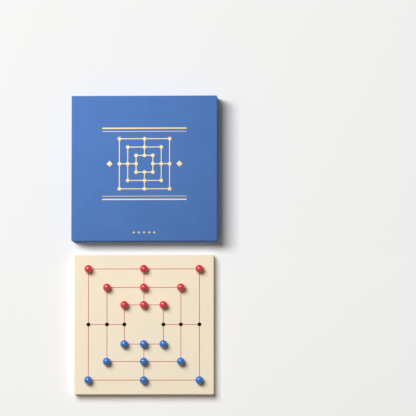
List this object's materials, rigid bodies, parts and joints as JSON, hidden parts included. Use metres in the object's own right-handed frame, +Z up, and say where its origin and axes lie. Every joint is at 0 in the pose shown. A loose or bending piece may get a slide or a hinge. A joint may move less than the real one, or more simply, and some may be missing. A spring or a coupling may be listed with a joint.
{
  "type": "nine mens morris box",
  "caption": "Square cloth-covered rigid box with a full-depth lift-off lid and a formed insert, and a separate square mill board with pull-out ball-headed pegs in blind holes.",
  "frame": {"origin": "centre of the closed box's underside", "axes": "+Z up through the lid, +Y away from the peg board that lies in front of the box"},
  "size_m": [0.2, 0.4099, 0.038],
  "materials": {
    "book_cloth": "matt fine weave",
    "greyboard": "matt",
    "lining_paper": "matt",
    "formed_insert": "matt",
    "booklet_cover": "satin",
    "booklet_pages": "matt",
    "board_core": "matt",
    "board_paper": "satin",
    "red_ink": "matt",
    "red_peg": "gloss lacquer",
    "blue_peg": "gloss lacquer"
  },
  "bodies": {
    "box_base": {"base_greyboard": "greyboard", "base_cloth_wrap": "book_cloth", "base_liner": "lining_paper", "base_underside_sheet": "lining_paper", "insert_tray": "formed_insert", "rules_cover": "booklet_cover", "rules_pages": "booklet_pages"},
    "lid": {"lid_greyboard": "greyboard", "lid_cloth_wrap": "book_cloth", "lid_liner": "lining_paper"},
    "board": {"board_core": "board_core", "board_floor_panel": "board_core", "board_wrap": "board_paper", "board_backing": "lining_paper", "mill_lines": "red_ink"},
    "red_peg_1": {"red_peg_1": "red_peg"},
    "red_peg_2": {"red_peg_2": "red_peg"},
    "red_peg_3": {"red_peg_3": "red_peg"},
    "red_peg_4": {"red_peg_4": "red_peg"},
    "red_peg_5": {"red_peg_5": "red_peg"},
    "red_peg_6": {"red_peg_6": "red_peg"},
    "red_peg_7": {"red_peg_7": "red_peg"},
    "red_peg_8": {"red_peg_8": "red_peg"},
    "red_peg_9": {"red_peg_9": "red_peg"},
    "blue_peg_1": {"blue_peg_1": "blue_peg"},
    "blue_peg_2": {"blue_peg_2": "blue_peg"},
    "blue_peg_3": {"blue_peg_3": "blue_peg"},
    "blue_peg_4": {"blue_peg_4": "blue_peg"},
    "blue_peg_5": {"blue_peg_5": "blue_peg"},
    "blue_peg_6": {"blue_peg_6": "blue_peg"},
    "blue_peg_7": {"blue_peg_7": "blue_peg"},
    "blue_peg_8": {"blue_peg_8": "blue_peg"},
    "blue_peg_9": {"blue_peg_9": "blue_peg"}
  },
  "joints": [
    {"name": "lid_lift", "type": "slide", "parent": "box_base", "child": "lid", "axis": [0, 0, 1], "range_m": [0, 0.08]},
    {"name": "board_lift", "type": "slide", "parent": "box_base", "child": "board", "axis": [0, 0, 1], "range_m": [0, 0.06]},
    {"name": "red_peg_1_lift", "type": "slide", "parent": "board", "child": "red_peg_1", "axis": [0, 0, 1], "range_m": [0, 0.02]},
    {"name": "red_peg_2_lift", "type": "slide", "parent": "board", "child": "red_peg_2", "axis": [0, 0, 1], "range_m": [0, 0.02]},
    {"name": "red_peg_3_lift", "type": "slide", "parent": "board", "child": "red_peg_3", "axis": [0, 0, 1], "range_m": [0, 0.02]},
    {"name": "red_peg_4_lift", "type": "slide", "parent": "board", "child": "red_peg_4", "axis": [0, 0, 1], "range_m": [0, 0.02]},
    {"name": "red_peg_5_lift", "type": "slide", "parent": "board", "child": "red_peg_5", "axis": [0, 0, 1], "range_m": [0, 0.02]},
    {"name": "red_peg_6_lift", "type": "slide", "parent": "board", "child": "red_peg_6", "axis": [0, 0, 1], "range_m": [0, 0.02]},
    {"name": "red_peg_7_lift", "type": "slide", "parent": "board", "child": "red_peg_7", "axis": [0, 0, 1], "range_m": [0, 0.02]},
    {"name": "red_peg_8_lift", "type": "slide", "parent": "board", "child": "red_peg_8", "axis": [0, 0, 1], "range_m": [0, 0.02]},
    {"name": "red_peg_9_lift", "type": "slide", "parent": "board", "child": "red_peg_9", "axis": [0, 0, 1], "range_m": [0, 0.02]},
    {"name": "blue_peg_1_lift", "type": "slide", "parent": "board", "child": "blue_peg_1", "axis": [0, 0, 1], "range_m": [0, 0.02]},
    {"name": "blue_peg_2_lift", "type": "slide", "parent": "board", "child": "blue_peg_2", "axis": [0, 0, 1], "range_m": [0, 0.02]},
    {"name": "blue_peg_3_lift", "type": "slide", "parent": "board", "child": "blue_peg_3", "axis": [0, 0, 1], "range_m": [0, 0.02]},
    {"name": "blue_peg_4_lift", "type": "slide", "parent": "board", "child": "blue_peg_4", "axis": [0, 0, 1], "range_m": [0, 0.02]},
    {"name": "blue_peg_5_lift", "type": "slide", "parent": "board", "child": "blue_peg_5", "axis": [0, 0, 1], "range_m": [0, 0.02]},
    {"name": "blue_peg_6_lift", "type": "slide", "parent": "board", "child": "blue_peg_6", "axis": [0, 0, 1], "range_m": [0, 0.02]},
    {"name": "blue_peg_7_lift", "type": "slide", "parent": "board", "child": "blue_peg_7", "axis": [0, 0, 1], "range_m": [0, 0.02]},
    {"name": "blue_peg_8_lift", "type": "slide", "parent": "board", "child": "blue_peg_8", "axis": [0, 0, 1], "range_m": [0, 0.02]},
    {"name": "blue_peg_9_lift", "type": "slide", "parent": "board", "child": "blue_peg_9", "axis": [0, 0, 1], "range_m": [0, 0.02]}
  ]
}
